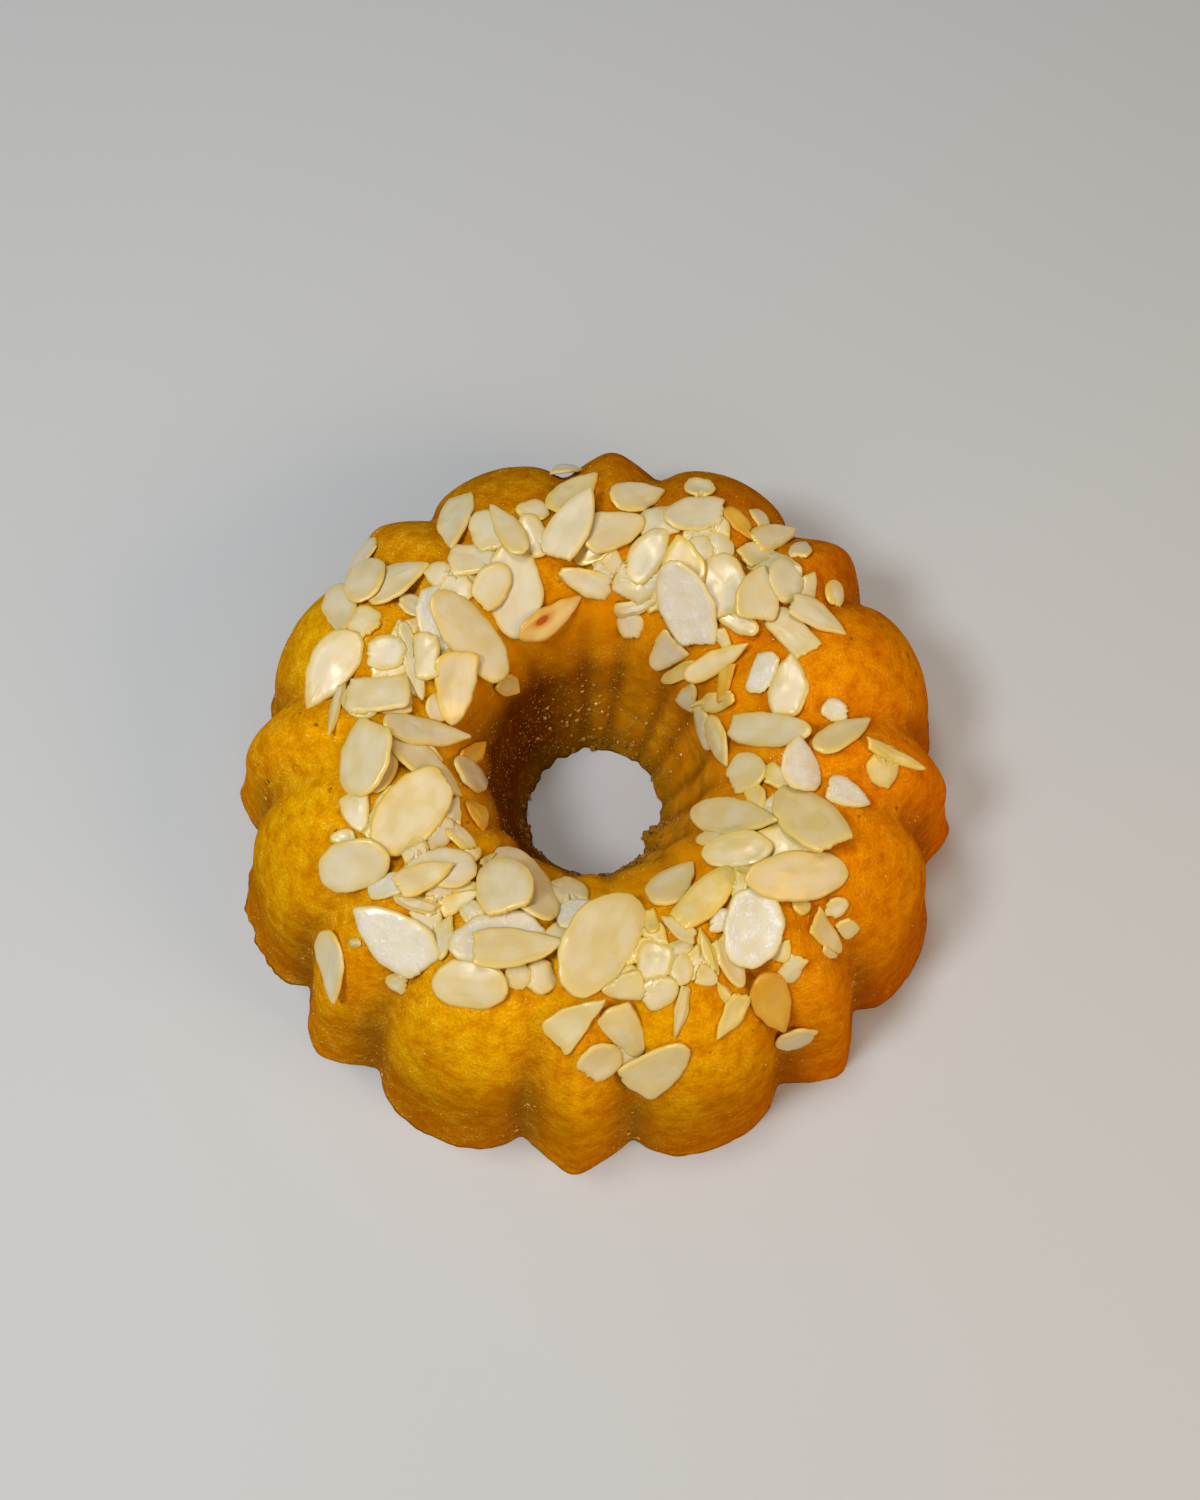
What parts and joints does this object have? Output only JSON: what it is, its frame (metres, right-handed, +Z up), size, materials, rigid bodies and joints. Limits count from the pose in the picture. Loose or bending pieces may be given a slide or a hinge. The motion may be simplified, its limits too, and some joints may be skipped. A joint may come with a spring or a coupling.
{
  "type": "bundt cake",
  "caption": "Golden ring cake from a fluted tin, with round lobes and pointed ridges round a central hole and flaked almonds scattered over its crown.",
  "frame": {"origin": "centre of the hole, on the plane the cake's base rests on", "axes": "+Z up along the hole; the pointed ridges lie every 45 degrees from +X; the pictured front faces -Y"},
  "size_m": [0.2012, 0.202, 0.0741],
  "materials": {
    "cake": "moist golden sponge with a fine open crumb",
    "ivory": "smooth, slightly waxy untoasted almond",
    "golden": "almond soaked with syrup, moist and glossy",
    "frosted": "almond with a thin glossy bloom of sugar",
    "toasted": "almond with a toasted end"
  },
  "bodies": {
    "root": {"almond_frosted_01": "frosted", "almond_frosted_02": "frosted", "almond_frosted_03": "frosted", "almond_frosted_04": "frosted", "almond_golden_01": "golden", "almond_golden_02": "golden", "almond_golden_03": "golden", "almond_golden_04": "golden", "almond_golden_05": "golden", "almond_golden_06": "golden", "almond_golden_07": "golden", "almond_golden_08": "golden", "almond_golden_09": "golden", "almond_ivory_01": "ivory", "almond_ivory_02": "ivory", "almond_ivory_03": "ivory", "almond_ivory_04": "ivory", "almond_ivory_05": "ivory", "almond_ivory_06": "ivory", "almond_ivory_07": "ivory", "almond_ivory_08": "ivory", "almond_ivory_09": "ivory", "almond_ivory_10": "ivory", "almond_ivory_11": "ivory", "almond_ivory_12": "ivory", "almond_ivory_13": "ivory", "almond_ivory_14": "ivory", "almond_ivory_15": "ivory", "almond_ivory_16": "ivory", "almond_ivory_17": "ivory", "almond_ivory_18": "ivory", "almond_ivory_19": "ivory", "almond_ivory_20": "ivory", "almond_ivory_21": "ivory", "almond_ivory_22": "ivory", "almond_ivory_23": "ivory", "almond_ivory_24": "ivory", "almond_ivory_25": "ivory", "almond_ivory_26": "ivory", "almond_ivory_27": "ivory", "almond_ivory_28": "ivory", "almond_ivory_29": "ivory", "almond_ivory_30": "ivory", "almond_ivory_31": "ivory", "almond_ivory_32": "ivory", "almond_ivory_33": "ivory", "almond_ivory_34": "ivory", "almond_ivory_35": "ivory", "almond_ivory_36": "ivory", "almond_ivory_37": "ivory", "almond_ivory_38": "ivory", "almond_ivory_39": "ivory", "almond_ivory_40": "ivory", "almond_ivory_41": "ivory", "almond_ivory_42": "ivory", "almond_ivory_43": "ivory", "almond_ivory_44": "ivory", "almond_toasted_01": "toasted", "cake": "cake"}
  },
  "joints": []
}
